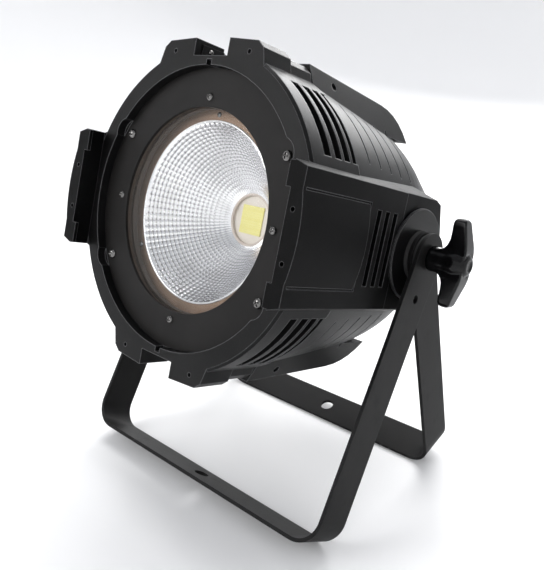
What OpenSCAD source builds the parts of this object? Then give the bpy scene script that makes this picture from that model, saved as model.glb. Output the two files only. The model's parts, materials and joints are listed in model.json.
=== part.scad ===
/* [Head] */
// Tilt of the head above level, front end up
head_tilt = 15; // [0:1:30]
// Distance from the bezel plane back to the tilt axis
pivot_back = 130; // [126:1:134]
// Outer radius of the front ring
ring_r = 120.5; // [119:0.5:122]
// Radius of the recess that holds the bezel
recess_r = 105.5; // [105:0.5:107]
// How far the ring's face stands in front of the bezel plane
face_front = 5; // [4:0.5:7]
// Wall of the cast housing
wall = 3.5; // [3:0.5:5]
// Depth from the bezel plane to the rear rim
body_length = 247; // [245:1:250]

/* [Housing details] */
// Distance from the bezel plane to the first vent slot
vent_start = 10; // [9:0.5:11]
// Width of the widest vent slot
vent_gap = 8; // [7:0.5:8.5]
// Thickness of the first ring between the slots
vent_rib = 4.5; // [4:0.5:5]
// Number of decorative grooves in each quarter
groove_count = 5; // [3:1:5]
// Spacing of the grooves along the body
groove_pitch = 18.5; // [16:0.5:19]
// Half width of the flat top of the brackets and ribs
rib_half = 45.5; // [43:0.5:47]
// Height of the brackets above the lamp's axis
bracket_top = 124.5; // [123:0.5:126]
// Half width of the channel through each bracket
channel_half = 17.5; // [15:0.5:19]

/* [Optics] */
// Radius of the opening in the bezel
bezel_open = 77.2; // [75:0.2:77.6]
// Radius of the reflector's rim
reflector_rim = 68; // [66:0.5:69]
// Radius of the reflector's inner end
reflector_base = 20.5; // [19:0.5:22]
// Depth of the reflector
reflector_depth = 55; // [50:1:56]
// Number of facets round the reflector
facet_columns = 48; // [24:4:60]
// Number of rows of facets
facet_rows = 14; // [8:1:16]
// Side of the square light-emitting surface
emitter_side = 23.5; // [20:0.5:25]

/* [Side arms] */
// Distance from the lamp's axis to the flat of a side cover
side_face = 121.5; // [121:0.5:123]
// Half height of the side covers at their outer face
side_half = 44; // [42:1:46]
// How far the frame lip stands in front of the bezel plane
lip_front = 22; // [18:1:26]
// Radius of the bulged middle panel
panel_r = 125; // [124:0.5:126]
// Radius of the round friction disc
disc_r = 36; // [32:1:38]

/* [Yokes] */
// Thickness of the yoke bars
bar_t = 3; // [2.5:0.5:3.5]
// Width of the yoke bars
bar_w = 34.5; // [30:0.5:36]
// Half width of the front yoke over its outer faces
front_half = 135.5; // [135:0.5:137]
// Half width of the rear yoke over its outer faces
rear_half = 129.5; // [129:0.5:130]
// Length of the front yoke from the tilt axis to its crossbar's outer face
front_leg = 234; // [225:1:245]
// Angle of the front yoke from the vertical
front_splay = 30; // [24:1:34]
// Angle of the rear yoke from the vertical
rear_splay = 17; // [12:1:22]
// Outer radius of the yokes' bends
bend_r = 22; // [16:1:28]
// Radius of the clamp hole in each crossbar
clamp_hole_r = 6.5; // [5:0.25:7]

/* [Knobs] */
// Radius reached by the knob's wings
wing_r = 34; // [30:1:38]
// Turn of the wings from upright
wing_turn = 13; // [0:1:45]
// Radius of the clamping bolt
bolt_r = 5; // [4:0.5:5]

/* [Hidden] */
$fn = 64;

black_cast = "#26272a";
black_sheet = "#2b2c2e";
eps = 0.01;

// Where the tilt axis lies in the standing lamp
pivot_z = front_leg * cos(front_splay) + bar_w / 2 * sin(front_splay);
rear_leg = (pivot_z - bar_w / 2 * sin(rear_splay)) / cos(rear_splay);
rim_r = 76;
front_reach = (pivot_back + face_front) * cos(head_tilt) + bracket_top * sin(head_tilt);
rear_reach = (body_length - pivot_back) * cos(head_tilt) + rim_r * sin(head_tilt);
pivot_y = (front_reach - rear_reach) / 2;

// Layers of the front end, back from the bezel plane
bezel_front = 2.5;
bezel_back = 5;
flange_back = 14;
trim_front = 15;
trim_back = 16.5;
bezel_r = recess_r - 0.3;
glass_r = 80;
glass_front = 6.5;
glass_back = 10.5;
flange_r = 81;
bezel_screw_ring = 84;
trim_screw_ring = 90;
cover_screw_x = 83.7;
cover_screw_z = 50;

// Vent slots: start and width of each, worked out from the first
vent_gaps = [vent_gap, vent_gap, vent_gap - 1, vent_gap - 1.5];
vent_ribs = [vent_rib, vent_rib - 1.5, vent_rib - 1.5];
function sum_to(list, n) = n == 0 ? 0 : list[n - 1] + sum_to(list, n - 1);
function vent_y(i) = vent_start + sum_to(vent_gaps, i) + sum_to(vent_ribs, i);
vent_end = vent_y(3) + vent_gaps[3];
arc_low = 27;
arc_high = 56.5;

// Outer outline of the housing behind the vents
waist_y = 150;
waist_r = 110.5;
cone_y = 185;
cone_r = 100.8;
rim_edge_y = body_length - 4;
rim_edge_r = 79;
panel_y = body_length - 4;
panel_t = 2.5;
panel_round = 73;
groove_start = 72;
groove_depth = 1.2;
groove_w = 1.8;

function bend(a, b, c, t) = a * (1 - t) * (1 - t) + b * 2 * t * (1 - t) + c * t * t;
waist_curve = [for (t = [0 : 0.2 : 1])
    bend([waist_r, waist_y - 12], [waist_r - 1.5, waist_y + 12], [cone_r, cone_y], t)];
function body_r(y) = ring_r - 1 + (waist_r - ring_r + 1) * (y - vent_end) / (waist_y - 12 - vent_end);

// Floor of the channel through each bracket, and the inner radius under it
channel_depth = 12.5;
channel_floor = bracket_top - channel_depth;
core_r = channel_floor - wall - 1;

// Inner radius of the thin rings between the vent slots
vent_inner_r = ring_r - 4.5;

// Flat sides of the housing under the side covers
flat_x = 112.5;
cover_end = 101.5;
block_start = 102;
block_end = 168;
block_face = side_face - 1;
disc_face = side_face + 2;
inner_washer_t = rear_half - bar_t - disc_face - 0.2;
outer_washer_t = front_half - bar_t - rear_half - 0.2;

module mirror_x() {
    children();
    mirror([1, 0, 0]) children();
}

module mirror_z() {
    children();
    mirror([0, 0, 1]) children();
}

// Places head pieces, drawn about the lamp's axis, on the tilted head
module head() {
    translate([0, pivot_y, pivot_z])
        rotate([-head_tilt, 0, 0])
            translate([0, -pivot_back, 0]) children();
}

// Turns a piece drawn up the Z axis to run back along Y
module along_y() rotate([-90, 0, 0]) children();

// Turns a piece drawn up the Z axis to run out along X
module along_x() rotate([0, 90, 0]) children();

// Extrudes an outline drawn in X and Z back along Y
module back_extrude(from, to) {
    translate([0, to, 0]) rotate([90, 0, 0]) linear_extrude(to - from) children();
}

// Extrudes an outline drawn in Y and Z out along X
module side_extrude(from, to) {
    translate([from, 0, 0]) rotate([90, 0, 90]) linear_extrude(to - from) children();
}

module tube_y(r_out, r_in, from, to) {
    translate([0, from, 0]) along_y() difference() {
        cylinder(r = r_out, h = to - from);
        translate([0, 0, -1]) cylinder(r = r_in, h = to - from + 2);
    }
}

module rod_y(r, from, to) {
    translate([0, from, 0]) along_y() cylinder(r = r, h = to - from);
}

module rod_x(r, from, to) {
    translate([from, 0, 0]) along_x() cylinder(r = r, h = to - from);
}

// ---- Housing ----

front_outline = [[0, -face_front], [ring_r - 2, -face_front], [ring_r, 2 - face_front],
                 [ring_r, vent_end], [0, vent_end]];

middle_outline = concat([[0, vent_end], [ring_r - 1, vent_end]], waist_curve, [[0, cone_y]]);

cap_outline = [[0, cone_y], [cone_r, cone_y], [rim_edge_r, rim_edge_y], [rim_r, body_length],
               [0, body_length]];

// Outer form of the housing, which the side arms are fitted to
module housing_body() {
    along_y() rotate_extrude() polygon(front_outline);
    along_y() rotate_extrude() polygon(middle_outline);
}

// Slab between the flat sides, which keeps a wall beside each of them
module inner_slab() {
    width = 2 * (flat_x - wall);
    translate([-width / 2, 0, -ring_r]) cube([width, body_length, 2 * ring_r]);
}

module rear_cavity() {
    intersection() {
        along_y() rotate_extrude() polygon(concat(
            [[0, vent_end - 1], [vent_inner_r - 0.5, vent_end - 1],
             [body_r(vent_end + 8) - wall, vent_end + 8]],
            [for (p = waist_curve) p + [-wall, 1.5]],
            [[rim_edge_r - wall - 4, panel_y - panel_t], [0, panel_y - panel_t]]
        ));
        inner_slab();
    }
}

module bracket_outline(top) {
    foot = ring_r - 25;
    polygon([[-rib_half - 12, foot], [-rib_half - 5.5, top - 6.5], [-rib_half, top - 2],
             [-channel_half, top], [channel_half, top], [rib_half, top - 2],
             [rib_half + 5.5, top - 6.5], [rib_half + 12, foot]]);
}

// Side view of a rear rib: a long slope with a rounded tail
rib_top = 122;
rib_foot = 90;
rib_flare = 17;
tail_y = 148;
tail_end = tail_y + 34;
rib_tail = [for (t = [0 : 0.2 : 1])
    bend([tail_y, 115.2], [tail_end - 6, 113], [tail_end, rib_foot], t)];

module rib_outline() {
    polygon([[-rib_half - rib_flare, rib_foot], [-rib_half - 1, rib_top + 1],
             [rib_half + 1, rib_top + 1], [rib_half + rib_flare, rib_foot]]);
}

module rear_rib() {
    intersection() {
        back_extrude(vent_end, tail_end) rib_outline();
        side_extrude(-rib_half - 20, rib_half + 20)
            polygon(concat([[vent_end, rib_foot], [vent_end, rib_top]], rib_tail));
    }
}

// Bracket of the front ring: a tall block with the accessory holes, and a lower step behind it
bracket_end = 24;
step_drop = 3.5;
step_gap = 1.5;

module bracket() {
    back_extrude(-face_front, bracket_end) bracket_outline(bracket_top);
    back_extrude(bracket_end - eps, vent_end - step_gap) bracket_outline(bracket_top - step_drop);
}

module arc_cut(r_in, r_out, y, w) {
    for (quarter = [0, 180])
        for (start = [arc_low, 180 - arc_high])
            translate([0, y, 0]) along_y()
                rotate([0, 0, quarter + start])
                    rotate_extrude(angle = arc_high - arc_low)
                        translate([r_in, 0]) square([r_out - r_in, w]);
}

module groove_cut(y) {
    r = body_r(y);
    for (quarter = [0, 180])
        for (start = [arc_low + 3, 180 - arc_high - 1])
            translate([0, y, 0]) along_y()
                rotate([0, 0, quarter + start])
                    rotate_extrude(angle = arc_high - arc_low - 2)
                        translate([r - groove_depth, 0]) square([6, groove_w]);
}

ear_x = 38.5;
ear_z = 115;
accessory_hole_r = 1.65;
pocket_r = 11;

module front_ring() {
    color(black_cast) head() difference() {
        union() {
            difference() {
                along_y() rotate_extrude() polygon(front_outline);
                intersection() {
                    rod_y(vent_inner_r, flange_back, vent_end + 1);
                    inner_slab();
                }
            }
            mirror_z() bracket();
        }
        // Bezel recess, glass seat and the space behind the flange
        rod_y(recess_r, -face_front - 1, bezel_back);
        rod_y(flange_r, bezel_back - 1, flange_back + 1);
        rod_y(core_r, flange_back, vent_end + 1);
        side_flats(-face_front - 1, vent_end + 1);
        for (i = [0 : 3])
            arc_cut(core_r - 6, ring_r + 2, vent_y(i), vent_gaps[i] + (i == 3 ? 1 : 0));
        // Channels, key notches and accessory holes of the two brackets
        mirror_z() {
            translate([-channel_half, -face_front - 1, channel_floor])
                cube([2 * channel_half, face_front + vent_end + 2, 20]);
            translate([-2.5, -face_front - 1, recess_r - 2]) cube([5, 9, 6]);
            mirror_x() translate([ear_x, 0, ear_z]) rod_y(accessory_hole_r, -face_front - 1, 9);
        }
        for (a = [0 : 90 : 270]) rotate([0, a, 0])
            translate([bezel_screw_ring, 0, 0]) rod_y(1.5, 0, 12);
        mirror_x() mirror_z() translate([cover_screw_x, 0, cover_screw_z]) {
            rod_y(2, 0, 12);
            rod_y(pocket_r, -face_front - 1, bezel_front);
        }
        for (a = [45 : 90 : 315]) rotate([0, a, 0])
            translate([trim_screw_ring, 0, 0]) rod_y(1.25, 8, flange_back + 1);
    }
}

module side_flats(from, to) {
    mirror_x() translate([flat_x, from, -60]) cube([20, to - from, 120]);
}

// Windows behind the louvres of the side covers
window_start = 62;
window_len = 34;
window_half = 29;

module main_housing() {
    color(black_cast) head() difference() {
        union() {
            along_y() rotate_extrude() polygon(middle_outline);
            mirror_z() rear_rib();
        }
        rear_cavity();
        side_flats(vent_end - 1, block_end + 5);
        mirror_x() translate([flat_x - 20, window_start, -window_half])
            cube([30, window_len, 2 * window_half]);
        for (i = [0 : groove_count - 1]) groove_cut(groove_start + i * groove_pitch);
        // Hole through the slanted side of each rear rib
        mirror_z() mirror_x() translate([rib_half + 5, 78, 112]) rotate([0, 60, 0])
            translate([0, 0, -6]) cylinder(r = 3, h = 30);
    }
}

// Tapered end of the housing, with the seat of the rear panel
module rear_cap() {
    color(black_cast) head() difference() {
        along_y() rotate_extrude() polygon(cap_outline);
        rear_cavity();
        rod_y(panel_round + 0.2, panel_y - panel_t, body_length + 1);
    }
}

// ---- Front end ----

module front_bezel() {
    color("#1f2022") head() difference() {
        tube_y(bezel_r, bezel_open, bezel_front, bezel_back);
        for (a = [0 : 90 : 270]) rotate([0, a, 0])
            translate([bezel_screw_ring, 0, 0]) rod_y(1.6, 0, 8);
        mirror_x() mirror_z() translate([cover_screw_x, 0, cover_screw_z]) rod_y(2.1, 0, 8);
    }
}

// Pan-head screw pointing back along Y, head in front of y
module pan_screw(y, head_r, shank_r, length) {
    translate([0, y, 0]) along_y() difference() {
        union() {
            rotate_extrude() polygon([[0, -head_r * 0.75], [head_r * 0.6, -head_r * 0.7],
                                      [head_r, -head_r * 0.3], [head_r, 0], [0, 0]]);
            cylinder(r = shank_r, h = length);
        }
        for (a = [0, 90]) rotate([0, 0, a])
            translate([-head_r * 0.55, -head_r * 0.1, -head_r])
                cube([head_r * 1.1, head_r * 0.2, head_r * 0.7]);
    }
}

module bezel_screws() {
    color("silver") head()
        for (a = [0 : 90 : 270]) rotate([0, a, 0])
            translate([bezel_screw_ring, 0, 0]) rotate([0, 20, 0])
                pan_screw(bezel_front, 3, 1.5, 9);
}

module cover_screws() {
    color("silver") head() mirror_x() mirror_z()
        translate([cover_screw_x, 0, cover_screw_z]) pan_screw(bezel_front, 4, 2, 9);
}

module front_glass() {
    color("#cfd8dc", 0.35) head() rod_y(glass_r, glass_front, glass_back);
}

module glass_gasket() {
    color("#151515") head() along_y() rotate_extrude()
        polygon([[bezel_open + 0.3, bezel_back], [flange_r, bezel_back], [flange_r, trim_front],
                 [bezel_open + 0.3, trim_front], [bezel_open + 0.3, glass_back],
                 [glass_r, glass_back], [glass_r, glass_front], [bezel_open + 0.3, glass_front]]);
}

trim_r = trim_screw_ring + 4;
clamp_screw_ring = 74;
clamp_screw_r = 1.2;

module trim_plate() {
    color("#6d645b") head() difference() {
        tube_y(trim_r, reflector_rim + 2, trim_front, trim_back);
        for (a = [45 : 90 : 315]) rotate([0, a, 0])
            translate([trim_screw_ring, 0, 0]) rod_y(1.3, trim_front - 1, trim_back + 1);
        for (a = [30 : 120 : 270]) rotate([0, a, 0])
            translate([clamp_screw_ring, 0, 0]) rod_y(clamp_screw_r, trim_front - 1, trim_back + 1);
    }
}

// Three small screws that hold the reflector's rim to the trim plate
module trim_screws() {
    color("silver") head() for (a = [30 : 120 : 270]) rotate([0, a, 0])
        translate([clamp_screw_ring, 0, 0]) pan_screw(trim_front, 2, clamp_screw_r, 5);
}

facet_proud = 0.9;
bowl_t = 2;

// Reflector curve: radius at depth share s, 0 at the rim
function bowl_r(s) = reflector_base
    + (reflector_rim - reflector_base) * pow(1 - s, 0.72);
function bowl_y(s) = trim_front + reflector_depth * s;
function ring_point(r, y, a) = [r * cos(a), y, r * sin(a)];

// Faceted bowl: each cell of the inner face is a low pyramid that throws its own highlight
module reflector() {
    step = 360 / facet_columns;
    cols = facet_columns;
    rows = facet_rows;
    outer_step = 2;
    outer_rows = rows / outer_step;
    inner = [for (j = [0 : rows]) for (i = [0 : cols - 1])
        ring_point(bowl_r(j / rows), bowl_y(j / rows), i * step)];
    peaks = [for (j = [0 : rows - 1]) for (i = [0 : cols - 1])
        let (s = (j + 0.5) / rows, proud = facet_proud * bowl_r(s) / reflector_rim)
        ring_point(bowl_r(s) - proud, bowl_y(s) - proud / 2, (i + 0.5) * step)];
    outer = [for (j = [0 : outer_rows]) for (i = [0 : cols - 1])
        let (s = j * outer_step / rows)
        ring_point(bowl_r(s) + bowl_t, bowl_y(s), i * step)];
    first_peak = len(inner);
    first_outer = first_peak + len(peaks);
    function at(j, i) = j * cols + (i % cols);
    function out(j, i) = first_outer + j * cols + (i % cols);
    cells = [for (j = [0 : rows - 1]) for (i = [0 : cols - 1])
        let (a = at(j, i), b = at(j, i + 1), c = at(j + 1, i), d = at(j + 1, i + 1),
             p = first_peak + at(j, i))
        each [[p, a, c], [p, c, d], [p, d, b], [p, b, a]]];
    skin = [for (j = [0 : outer_rows - 1]) for (i = [0 : cols - 1])
        let (a = out(j, i), b = out(j, i + 1), c = out(j + 1, i), d = out(j + 1, i + 1))
        each [[a, b, c], [b, d, c]]];
    ends = [for (i = [0 : cols - 1])
        let (a = at(0, i), b = at(0, i + 1), c = out(0, i), d = out(0, i + 1),
             e = at(rows, i), f = at(rows, i + 1), g = out(outer_rows, i), h = out(outer_rows, i + 1))
        each [[a, b, c], [b, d, c], [g, h, e], [h, f, e]]];
    color("#dfe3e6") head() polyhedron(concat(inner, peaks, outer), concat(cells, skin, ends));
}

// Collar, chip and board at the reflector's inner end
bowl_end = trim_front + reflector_depth;

module led_holder() {
    color("#e8dcd6") head() difference() {
        tube_y(reflector_base + 7, reflector_base - 0.5, bowl_end, bowl_end + 2.5);
        for (a = [45, 225]) rotate([0, a, 0])
            translate([reflector_base + 3.5, 0, 0]) rod_y(1.5, bowl_end - 1, bowl_end + 4);
    }
}

module led_emitter() {
    color("#f2e26b") head()
        translate([-emitter_side / 2, bowl_end + 1.5, -emitter_side / 2])
            cube([emitter_side, 1, emitter_side]);
}

module led_substrate() {
    color("#d9cfc0") head()
        back_extrude(bowl_end + 2.5, bowl_end + 4.5)
            square(2 * reflector_base + 1, center = true);
}

// ---- Inside the body ----

sink_front = bowl_end + 4.5;
sink_base_t = 9;
sink_r = 78;
fin_count = 17;
fin_t = 2;
fan_y = sink_front + 50;
fan_side = 92;
fan_depth = 25;

module heat_sink() {
    pitch = 2 * (sink_r - 6) / (fin_count - 1);
    color("silver") head() {
        rod_y(sink_r, sink_front, sink_front + sink_base_t);
        intersection() {
            rod_y(sink_r, sink_front + sink_base_t - 1, fan_y - 4);
            for (i = [0 : fin_count - 1])
                translate([(i - (fin_count - 1) / 2) * pitch - fin_t / 2, 0, -sink_r])
                    cube([fin_t, fan_y, 2 * sink_r]);
        }
    }
}

module fan_frame() {
    color("#202020") head() difference() {
        back_extrude(fan_y, fan_y + fan_depth) difference() {
            square(fan_side, center = true);
            circle(fan_side / 2 - 2);
            mirror_x() for (z = [-1, 1]) translate([fan_side / 2 - 5, z * (fan_side / 2 - 5)])
                circle(2.2);
        }
        tube_y(fan_side, fan_side / 2 + 6, fan_y + 4, fan_y + fan_depth - 4);
    }
    color("#202020") head() {
        rod_y(19, fan_y + fan_depth - 3, fan_y + fan_depth);
        for (a = [45 : 90 : 315]) rotate([0, a, 0])
            translate([17, fan_y + fan_depth - 3, -2]) cube([fan_side / 2 - 18, 3, 4]);
    }
}

module fan_rotor() {
    blade_r = fan_side / 2 - 3;
    color("#2c2c2c") head() {
        rod_y(18, fan_y + 1, fan_y + fan_depth - 4);
        intersection() {
            tube_y(blade_r, 17, fan_y + 1, fan_y + fan_depth - 4);
            for (a = [0 : 360 / 7 : 359]) rotate([0, a, 0])
                translate([16, fan_y + fan_depth / 2 - 1.5, 0]) rotate([38, 0, 0])
                    translate([0, -0.9, -18]) cube([blade_r, 1.8, 36]);
        }
    }
}

supply_y = fan_y + fan_depth + 8;

supply_w = 110;
supply_d = 38;
supply_h = 72;
supply_low = -45;
case_t = 1.5;

module power_supply() {
    color("#b9bcc0") head() difference() {
        translate([-supply_w / 2, supply_y, supply_low]) cube([supply_w, supply_d, supply_h]);
        translate([case_t - supply_w / 2, supply_y + case_t, supply_low + case_t])
            cube([supply_w - 2 * case_t, supply_d - 2 * case_t, supply_h / 2]);
        for (x = [-42 : 12 : 42]) for (z = [-30, -15])
            translate([x, 0, z]) rod_y(2, supply_y - 1, supply_y + supply_d + 1);
    }
}

// ---- Side covers and pivots, drawn on the +X side ----

module arm_outline(root_x) {
    slope = 0.327;
    root_z = side_half + (side_face - root_x) * slope;
    polygon([[root_x, root_z], [side_face, side_half], [side_face, -side_half], [root_x, -root_z]]);
}

module housing_filler() {
    intersection() {
        housing_body();
        translate([0, -face_front - 1, -70]) cube([flat_x, body_length, 140]);
    }
}

lip_inner = 111.5;
panel_half = 30;
panel_end = 54;
seam = 1.5;
louvre_y = [65, 76, 87];
louvre_w = 5.5;
louvre_half = 27.5;
lip_hole_x = 116.5;
lip_hole_z = 17;

module side_cover() {
    difference() {
        union() {
            difference() {
                back_extrude(-face_front, cover_end) arm_outline(94);
                housing_filler();
            }
            back_extrude(-lip_front, eps - face_front) arm_outline(lip_inner);
            // Wider ends of the frame lip
            mirror_z() translate([lip_inner - 4, -lip_front, panel_half])
                cube([5, 3, side_half - panel_half + 2.5]);
            // Bulged middle panel
            intersection() {
                rod_y(panel_r, -lip_front, panel_end);
                translate([flat_x + 4, -lip_front, -panel_half])
                    cube([20, panel_end + lip_front, 2 * panel_half]);
            }
        }
        // Seam round the panel
        mirror_z() translate([side_face - seam, -lip_front + 3, panel_half])
            cube([10, panel_end + lip_front - 3 + seam, seam]);
        translate([side_face - seam, panel_end, -panel_half - seam])
            cube([10, seam, 2 * (panel_half + seam)]);
        // Hollow behind the panel and the louvres
        translate([flat_x - 1, 2, -34]) cube([6, panel_end - 4, 68]);
        translate([flat_x - 1, 60, -32]) cube([6, 38, 64]);
        for (y = louvre_y) translate([flat_x, y, -louvre_half])
            cube([20, louvre_w, 2 * louvre_half]);
        // Accessory holes in the lip
        mirror_z() translate([lip_hole_x, 0, lip_hole_z])
            rod_y(accessory_hole_r, -lip_front - 1, -lip_front + 10);
        // Screw pockets of the ring
        mirror_z() translate([cover_screw_x, 0, cover_screw_z])
            rod_y(pocket_r, -lip_front - 1, bezel_back);
    }
}

module side_cover_right() color(black_cast) head() side_cover();

module side_cover_left() color(black_cast) head() mirror([1, 0, 0]) side_cover();

boss_r = 27.5;
insert_r = 9;
insert_x = flat_x + 0.5;

module pivot_block() {
    difference() {
        intersection() {
            difference() {
                back_extrude(block_start, block_end) arm_outline(90);
                housing_filler();
            }
            side_extrude(80, block_face)
                polygon([[block_start, -60], [150, -60], [150, -side_half], [157, -41.5],
                         [block_end, -15], [block_end, 15], [157, 41.5], [150, side_half],
                         [150, 60], [block_start, 60]]);
        }
        translate([0, pivot_back, 0]) rod_x(insert_r, insert_x, side_face + 1);
    }
}

module pivot_block_right() color("#222326") head() pivot_block();

module pivot_block_left() color("#222326") head() mirror([1, 0, 0]) pivot_block();

module pivot_disc() {
    translate([0, pivot_back, 0]) difference() {
        union() {
            translate([side_face, 0, 0]) along_x() rotate_extrude()
                polygon([[0, 0], [disc_r, 0], [disc_r, 1.2], [disc_r - 0.8, 2], [0, 2]]);
            rod_x(boss_r, block_face, side_face + eps);
        }
        rod_x(bolt_r + 0.08, block_face - 1, disc_face + 1);
    }
}

module pivot_disc_right() color("#2e2f31") head() pivot_disc();

module pivot_disc_left() color("#2e2f31") head() mirror([1, 0, 0]) pivot_disc();

module washer_x(r_out, from, to) {
    difference() {
        rod_x(r_out, from, to);
        rod_x(bolt_r + 0.08, from - 1, to + 1);
    }
}

module thread_inserts() {
    color("goldenrod") head() mirror_x() translate([0, pivot_back, 0])
        washer_x(insert_r, insert_x, block_face);
}

module inner_washers() {
    color("#1b1b1b") head() mirror_x() translate([0, pivot_back, 0])
        washer_x(19, disc_face, disc_face + inner_washer_t);
}

module outer_washers() {
    color("#1b1b1b") translate([0, pivot_y, pivot_z]) mirror_x()
        washer_x(17, rear_half + 0.2, rear_half + 0.2 + outer_washer_t);
}

// ---- Yokes: flat bars bent into a U, drawn hanging straight down from the pivot ----

eye_r = 18.8;
pin_hole_r = 3.5;
pin_hole_drop = 34;

module yoke_bar(half, leg) {
    difference() {
        union() {
            mirror_x() side_extrude(half - bar_t, half) {
                circle(eye_r);
                polygon([[-eye_r, 0], [-bar_w / 2, -70], [-bar_w / 2, bend_r - leg],
                         [bar_w / 2, bend_r - leg], [bar_w / 2, -70], [eye_r, 0]]);
            }
            back_extrude(-bar_w / 2, bar_w / 2) {
                translate([-half + bend_r, -leg]) square([2 * (half - bend_r), bar_t]);
                mirror_x() translate([half - bend_r, bend_r - leg]) intersection() {
                    difference() {
                        circle(bend_r);
                        circle(bend_r - bar_t);
                    }
                    translate([0, -bend_r]) square(bend_r);
                }
            }
        }
        mirror_x() rod_x(bolt_r + 0.08, half - bar_t - 1, half + 1);
        mirror_x() translate([0, 0, -pin_hole_drop]) rod_x(pin_hole_r, half - bar_t - 1, half + 1);
        translate([0, 0, -leg - 1]) cylinder(r = clamp_hole_r, h = bar_t + 2);
    }
}

module front_yoke() {
    color(black_sheet) translate([0, pivot_y, pivot_z]) rotate([-front_splay, 0, 0])
        yoke_bar(front_half, front_leg);
}

module rear_yoke() {
    color(black_sheet) translate([0, pivot_y, pivot_z]) rotate([rear_splay, 0, 0])
        yoke_bar(rear_half, rear_leg);
}

// ---- Wing knobs ----

knob_x = front_half + 0.3;
knob_len = 32;
bolt_end = 22;

// Side view of a wing, as distance out along the bolt and radius: it sweeps out from the
// stem, hooks over at the tip and slopes down to the end of the hub
tip_x = 19.5;
tip_half = 5;
wing_side = concat(
    [[3, 0], [3, 8]],
    [for (t = [0 : 0.2 : 1])
        bend([5, 8.5], [tip_x - tip_half + 1.5, 8], [tip_x - tip_half + 0.5, 21], t)],
    [for (t = [0 : 0.2 : 1])
        bend([tip_x - tip_half, wing_r - 5], [tip_x - tip_half, wing_r], [tip_x, wing_r], t)],
    [for (t = [0.2 : 0.2 : 1])
        bend([tip_x, wing_r], [tip_x + tip_half, wing_r], [tip_x + tip_half + 0.5, wing_r - 5], t)],
    [for (t = [0 : 0.2 : 1]) bend([28.5, 17], [30.5, 11], [30.5, 0], t)]
);

// End view of a wing, as half width and radius
wing_half = [[7.5, 0], [7.2, 12], [5.6, wing_r - 6], [5, wing_r - 2.5], [3.4, wing_r - 0.6], [0, wing_r]];

module wing() {
    difference() {
        intersection() {
            translate([0, 10, 0]) rotate([90, 0, 0]) linear_extrude(20) polygon(wing_side);
            rotate([90, 0, 90]) linear_extrude(knob_len)
                polygon(concat(wing_half, [for (i = [len(wing_half) - 1 : -1 : 0])
                    [-wing_half[i].x, wing_half[i].y]]));
        }
        // Hollow in the face towards the yoke
        translate([6, -3.4, 13]) cube([tip_x - 6, 6.8, wing_r - 19]);
        rod_x(9, -1, knob_len);
    }
}

module knob() {
    translate([knob_x, 0, 0]) {
        along_x() rotate_extrude() polygon([
            [bolt_r, 0], [9, 0], [10, 1.5], [9.6, 6], [9.4, 14], [10.2, 22], [9.4, 28],
            [7, 31.2], [4.5, knob_len], [3.4, knob_len - 1.2], [0, knob_len - 1.6],
            [0, bolt_end], [bolt_r, bolt_end]]);
        for (side = [0, 180]) rotate([side - wing_turn, 0, 0]) wing();
    }
}

module knob_right() color("#161617") translate([0, pivot_y, pivot_z]) knob();

module knob_left() color("#161617") translate([0, pivot_y, pivot_z]) mirror([1, 0, 0]) knob();

module knob_bolt() {
    rod_x(bolt_r, insert_x + 0.5, knob_x + bolt_end);
}

module knob_bolt_right() color("#9a9da0") translate([0, pivot_y, pivot_z]) knob_bolt();

module knob_bolt_left() {
    color("#9a9da0") translate([0, pivot_y, pivot_z]) mirror([1, 0, 0]) knob_bolt();
}

// ---- Rear panel ----

panel_screw_r = 68.5;
display_z = 34;
display_w = 46;
display_h = 22;
buttons_z = 13;
button_x = [-27, -9, 9, 27];
button_r = 4;
button_clear = 0.3;
dmx_x = 40;
dmx_z = -10;
power_x = 18;
power_z = -41;
socket_w = 19;
socket_h = 25;
fuse_z = -8;
fuse_r = 6;
fuse_bore = 4.5;
shell_r = 11.5;
shell_depth = 18;

eye_z = -62;
eye_half = 6;
eye_wire = 1.9;

module panel_hole(r) rod_y(r, panel_y - 10, panel_y + 10);

module panel_holes() {
    translate([0, 0, display_z]) back_extrude(panel_y - 10, panel_y + 10)
        square([display_w, display_h], center = true);
    for (x = button_x) translate([x, 0, buttons_z]) panel_hole(button_r + button_clear);
    mirror_x() translate([dmx_x, 0, dmx_z]) panel_hole(shell_r + 0.3);
    mirror_x() translate([power_x, 0, power_z]) back_extrude(panel_y - 10, panel_y + 10)
        square([socket_w + 3, socket_h + 3], center = true);
    translate([0, 0, fuse_z]) panel_hole(fuse_r + 0.2);
    for (x = [-eye_half, eye_half]) translate([x, 0, eye_z]) panel_hole(eye_wire + 0.1);
}

module rear_panel() {
    color("#1d1e20") head() difference() {
        rod_y(panel_round, panel_y - panel_t, panel_y);
        panel_holes();
        for (a = [0 : 90 : 270]) rotate([0, a, 0])
            translate([panel_screw_r, 0, 0]) rod_y(1.6, panel_y - 5, panel_y + 1);
    }
}

// Pan-head screw pointing forward from the rear face
module rear_screw(head_r, shank_r, length) {
    translate([0, panel_y, 0]) mirror([0, 1, 0]) pan_screw(0, head_r, shank_r, length);
}

module rear_panel_screws() {
    color("silver") head() for (a = [0 : 90 : 270]) rotate([0, a, 0])
        translate([panel_screw_r, 0, 0]) rear_screw(3, 1.6, panel_t);
}

module display_window() {
    color("#0d1a24") head() translate([0, 0, display_z])
        back_extrude(panel_y - 1.5, panel_y + 0.6)
            square([display_w - 0.4, display_h - 0.4], center = true);
}

module control_board() {
    color("#1f6b3a") head() {
        translate([-36, panel_y - 12, 5]) cube([72, 1.6, 44]);
        translate([-20, panel_y - 10.4 - eps, display_z - 9]) cube([40, 7, 18]);
        for (x = button_x) translate([x - 3, panel_y - 10.4 - eps, buttons_z - 3]) cube([6, 3.4, 6]);
    }
}

module menu_button(i) {
    translate([button_x[i], panel_y - 4.6, buttons_z]) along_y() rotate_extrude()
        polygon([[0, 0], [button_r, 0], [button_r, 6.2], [button_r - 0.6, 7], [0, 7]]);
}

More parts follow.
